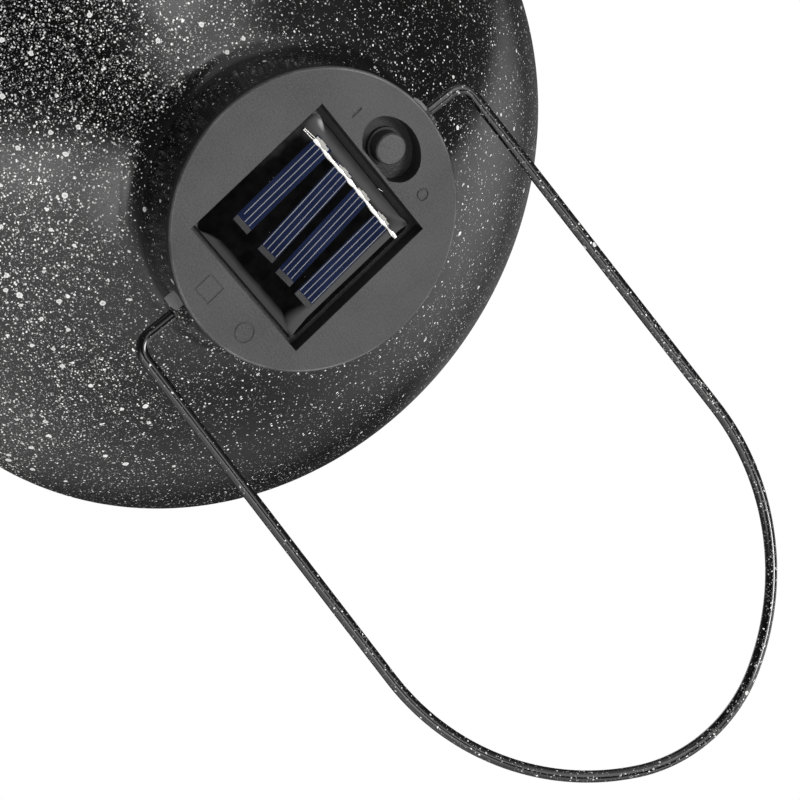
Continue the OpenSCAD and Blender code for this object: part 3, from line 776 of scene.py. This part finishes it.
# ---------------------------------------------------------------- solar module
MODULE_TURN = math.radians(5.5)
TURN = Matrix.Rotation(MODULE_TURN, 4, "Z")
BOARD_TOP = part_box("solar_board")[1].z
RESIN_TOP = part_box("panel_resin")[1].z
CELL_LOW = RESIN_TOP - 0.34 * MM
CELL_THICK = 0.25 * MM
CELL_TOP = CELL_LOW + CELL_THICK
CELL_EDGE = 0.04 * MM
CELL_CORNER = 0.25 * MM
PANEL_X = 2.8 * MM
PANEL_HALF = 23 * MM
CELL_LENGTH = 33 * MM
# each cut strip: centre x, centre y, turn in degrees, number of printed fingers
STRIPS = [(0.7, 15.8, 1.2, 4), (0.8, 6.1, 3.8, 3), (0.3, -3.1, 4.2, 4), (0.2, -14.0, 0.9, 3)]
FINGER_PITCH = 1.82 * MM
FINGER_HALF = 0.13 * MM
FINGER_RISE = 0.02 * MM
FINGER_STOP = 1.9 * MM      # the fingers end this far short of the cell
SHORT_STOP = 3.2 * MM       # and the outermost finger of the last cell this far
STRIP_WIDTH = 6.5 * MM


def in_module(mesh):
    """Turns a mesh with the solar module."""
    mesh.transform(TURN)
    return mesh


def boxed(bm, x0, x1, y0, y1, z0, z1, matrix):
    """Adds a block between the given faces, then moves it by the matrix."""
    made = bmesh.ops.create_cube(bm, size=1)["verts"]
    size = Matrix.Diagonal((x1 - x0, y1 - y0, z1 - z0, 1))
    centre = Matrix.Translation(((x0 + x1) / 2, (y0 + y1) / 2, (z0 + z1) / 2))
    bmesh.ops.transform(bm, matrix=matrix @ centre @ size, verts=made)


def to_mesh(name, bm):
    """Ends a bmesh and gives its mesh."""
    mesh = bpy.data.meshes.new(name)
    bm.to_mesh(mesh)
    bm.free()
    return mesh


def make_cells():
    """Four cut strips of silicon, each with its printed fingers and bare end."""
    half = CELL_LENGTH / 2
    side = STRIP_WIDTH / 2
    for i, (x, y, turn, count) in enumerate(STRIPS):
        place = (Matrix.Translation((x * MM, y * MM, CELL_LOW))
                 @ Matrix.Rotation(math.radians(turn), 4, "Z"))
        rings = []
        for inset, height in ((0, 0), (0, 0.22 * MM), (CELL_EDGE, CELL_THICK)):
            rings.append([place @ Vector((px, py, height))
                          for px, py in rounded(half - inset, side - inset, CELL_CORNER, 2)])
        add("cell_%d" % (i + 1), in_module(slab("cell", rings)), CELL, "solar_module",
            8, ("solar_cells",) if i == 0 else ())
        bm = bmesh.new()
        first = (count - 1) / 2 * FINGER_PITCH
        for k in range(count):
            at = first - k * FINGER_PITCH
            stop = SHORT_STOP if i == 3 and k == count - 1 else FINGER_STOP
            boxed(bm, -half + 0.2 * MM, half - stop, at - FINGER_HALF, at + FINGER_HALF,
                  CELL_THICK, CELL_THICK + FINGER_RISE, place)
        add("fingers_%d" % (i + 1), in_module(to_mesh("fingers", bm)), FINGER, "solar_module",
            30)
        bm = bmesh.new()
        boxed(bm, half - 1.75 * MM, half - 0.05 * MM, -side + 0.1 * MM, side - 0.1 * MM,
              CELL_THICK, CELL_THICK + 0.05 * MM, place)
        end = add("cell_end_%d" % (i + 1), in_module(to_mesh("cell_end", bm)), CELL_END,
                  "solar_module", 30)
        bevel(end, 0.02 * MM)


RIBBON_Y = (22.3 * MM, -17.3 * MM)
RIBBON_X = -14.95 * MM
RIBBON_STEPS = 150
# the two bare wires, in mm: where they start, how far they run, and how far each lies to one side
BARE_FROM = (-14.7, -16.9)
BARE_RUN = (0.5, -5.0)
BARE_SHIFTS = (-0.28, 0.3)
BARE_STEPS = 14
BARE_R = 0.14 * MM
TAB_X = -15.2 * MM
# each tab is three short lengths: from, to and how far it reaches over the cell, in mm
TAB_LENGTHS = ((-2.7, -1.2, 0.75), (-1.2, 1.0, 1.0), (1.0, 2.6, 0.7))


def ribbon_ring(f):
    """Half-round section of the ribbon, a share f of the way along, with its lumps and waves."""
    y = RIBBON_Y[0] + (RIBBON_Y[1] - RIBBON_Y[0]) * f
    drift = 0.25 * f + 0.12 * math.sin(f * 9.0) + 0.015 * random.uniform(-1, 1)
    x = RIBBON_X + drift * MM
    wide = (0.56 + 0.12 * math.sin(f * 47) + 0.07 * math.sin(f * 23 + 2)
            + 0.03 * random.uniform(-1, 1))
    high = 0.30 + 0.12 * math.sin(f * 61 + 1) + 0.03 * random.uniform(-1, 1)
    base = CELL_TOP - 0.02 * MM
    ring = []
    for k in range(9):
        a = math.pi * k / 8
        ring.append(Vector((x + wide * MM * math.cos(a), y,
                            base + max(0, high * MM * math.sin(a)))))
    ring.append(Vector((x, y, base - 0.05 * MM)))
    return ring


def make_ribbon():
    """Solder-coated strip over the cells' ends, two bare wires at its end, a tab on each cell."""
    rings = [ribbon_ring(i / RIBBON_STEPS) for i in range(RIBBON_STEPS + 1)]
    add("ribbon", in_module(slab("ribbon", rings)), TIN, "solar_module", 60,
        ("cell_ribbon",))
    for k, shift in enumerate(BARE_SHIFTS):
        path = []
        for i in range(BARE_STEPS + 1):
            f = i / BARE_STEPS
            wave = 0.15 * shift * math.sin(f * 6)
            path.append(Vector(((BARE_FROM[0] + shift + BARE_RUN[0] * f + wave) * MM,
                                (BARE_FROM[1] + BARE_RUN[1] * f) * MM,
                                CELL_TOP + 0.12 * MM - 0.1 * MM * f)))
        wire = tube("ribbon_wire", path, BARE_R, 10)
        add("ribbon_wire_%d" % (k + 1), in_module(wire), TIN, "solar_module", 40)
    for i, (_, y, turn, _) in enumerate(STRIPS):
        bm = bmesh.new()
        place = Matrix.Translation((TAB_X, (y - 0.6) * MM, CELL_TOP))
        place = place @ Matrix.Rotation(math.radians(turn), 4, "Z")
        for low, high, reach in TAB_LENGTHS:
            boxed(bm, -reach * MM, 0.5 * MM, low * MM, high * MM, -0.12 * MM, 0.07 * MM, place)
        tab = add("cell_tab_%d" % (i + 1), in_module(to_mesh("tab", bm)), TAB, "solar_module",
                  30)
        bevel(tab, 0.03 * MM)


RESIN_RINGS = 24
SHOULDER = 6.0              # width of the resin's shoulder in mm
SHOULDER_FOOT = 0.16        # height at its outer edge, as a share of the full height
RESIN_CORNER = (2.0, 6.0)   # corner radius in mm: at the edge, and what the shoulder adds


def make_resin():
    """Poured resin over the board: flat where the cells lie, with a slow shoulder on all sides."""
    low = BOARD_TOP + 0.02 * MM
    rise = CELL_LOW + 0.10 * MM - low
    rings = []
    for i in range(RESIN_RINGS + 1):
        f = i / RESIN_RINGS
        height = SHOULDER_FOOT + (1 - SHOULDER_FOOT) * (1 - (1 - f) ** 2.0)
        corner = (RESIN_CORNER[0] + RESIN_CORNER[1] * math.sqrt(f)) * MM
        half = PANEL_HALF - (0.05 + SHOULDER * f) * MM
        rings.append([Vector((x + PANEL_X, y, low + rise * height))
                      for x, y in rounded(half, half, corner, 10)])
    foot = [Vector((p.x, p.y, low)) for p in rings[0]]
    mesh = in_module(slab("resin", [foot] + rings))
    add("resin_pour", mesh, RESIN, "solar_module", 40, ("panel_resin",))


HAIR_FROM = (-20.6, 8.9)
HAIR_RUN = (0.9, -1.2)
GRAINS = 16
GRAIN_SIZES = (0.04, 0.09)


def make_strays():
    """A hair and a few grains caught on the resin."""
    path = []
    for i in range(11):
        f = i / 10
        path.append(Vector(((HAIR_FROM[0] + HAIR_RUN[0] * f) * MM,
                            (HAIR_FROM[1] + HAIR_RUN[1] * f + 0.35 * math.sin(f * 5)) * MM,
                            CELL_LOW + 0.02 * MM + 0.06 * MM * math.sin(f * 3))))
    add("stray_hair", in_module(tube("hair", path, 0.05 * MM, 6)), TIN, "solar_module",
        40)
    bm = bmesh.new()
    for _ in range(GRAINS):
        at = Vector((random.uniform(-16, 20) * MM, random.uniform(-18, 18) * MM,
                     CELL_TOP + 0.01 * MM))
        radius = random.uniform(*GRAIN_SIZES) * MM
        made = bmesh.ops.create_icosphere(bm, subdivisions=2, radius=radius)["verts"]
        bmesh.ops.translate(bm, verts=made, vec=at)
    add("resin_grains", in_module(to_mesh("grains", bm)), TAB, "solar_module", 60)


make_cells()
make_ribbon()
make_resin()
make_strays()

# CAD nodes that keep their shape: material, width in mm of the round on their edges, and its steps
FINISHES = [
    ("module_lid", LID, 0.22, 3),
    ("lid_gasket", GASKET, 0.1, 2),
    ("solar_board", PANEL, 0.12, 2),
    ("button", BUTTON, 0.25, 3),
    ("switch_body", SWITCH, 0.15, 2),
    ("circuit_board", BOARD, 0, 2),
    ("controller_chip", CHIP, 0.1, 2),
    ("board_coil", COIL, 0.1, 2),
    ("board_resistors", RESISTOR, 0.08, 2),
    ("module_cup", CUP, 0.2, 2),
    ("battery_cradle", CRADLE, 0.12, 2),
    ("battery", WRAP, 0.15, 2),
    ("battery_spring", STEEL, 0, 2),
    ("battery_plate", NICKEL, 0.05, 2),
    ("battery_cover", CUP, 0.15, 2),
    ("cover_screws", SCREW, 0.1, 2),
    ("housing_screws", SCREW, 0.1, 2),
    ("globe_collar", COLLAR, 0.15, 2),
    ("lamp_globe", GLOBE, 0, 2),
    ("led_board", LED_BOARD, 0, 2),
    ("led", LENS, 0, 2),
    ("panel_leads", LEADS, 0, 2),
    ("battery_leads", LEADS, 0, 2),
    ("led_leads", LEADS, 0, 2),
]
for node, material, width, steps in FINISHES:
    finish_node(node, material, width * MM, steps)

SPRING_WIRE = 0.3 * MM
SPRING_TURNS = 6.0
SPRING_STEPS = 240
# the first and last turns lie flat: where the climb starts, and how much of the length it takes
SPRING_CLIMB = (0.09, 0.82)


def make_button_spring():
    """A real coil in place of the spring's stack of rings."""
    low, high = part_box("button_spring")
    centre = (low + high) / 2
    radius = (high.x - low.x) / 2 - SPRING_WIRE
    path = []
    for i in range(SPRING_STEPS + 1):
        f = i / SPRING_STEPS
        climb = min(1, max(0, (f - SPRING_CLIMB[0]) / SPRING_CLIMB[1]))
        a = 2 * math.pi * SPRING_TURNS * f
        path.append(Vector((centre.x + radius * math.cos(a), centre.y + radius * math.sin(a),
                            low.z + SPRING_WIRE + (high.z - low.z - 2 * SPRING_WIRE) * climb)))
    piece = add("button_coil", tube("button_coil", path, SPRING_WIRE, 10), STEEL, "solar_module",
                50, ("button_spring",))
    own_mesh(piece)


make_button_spring()
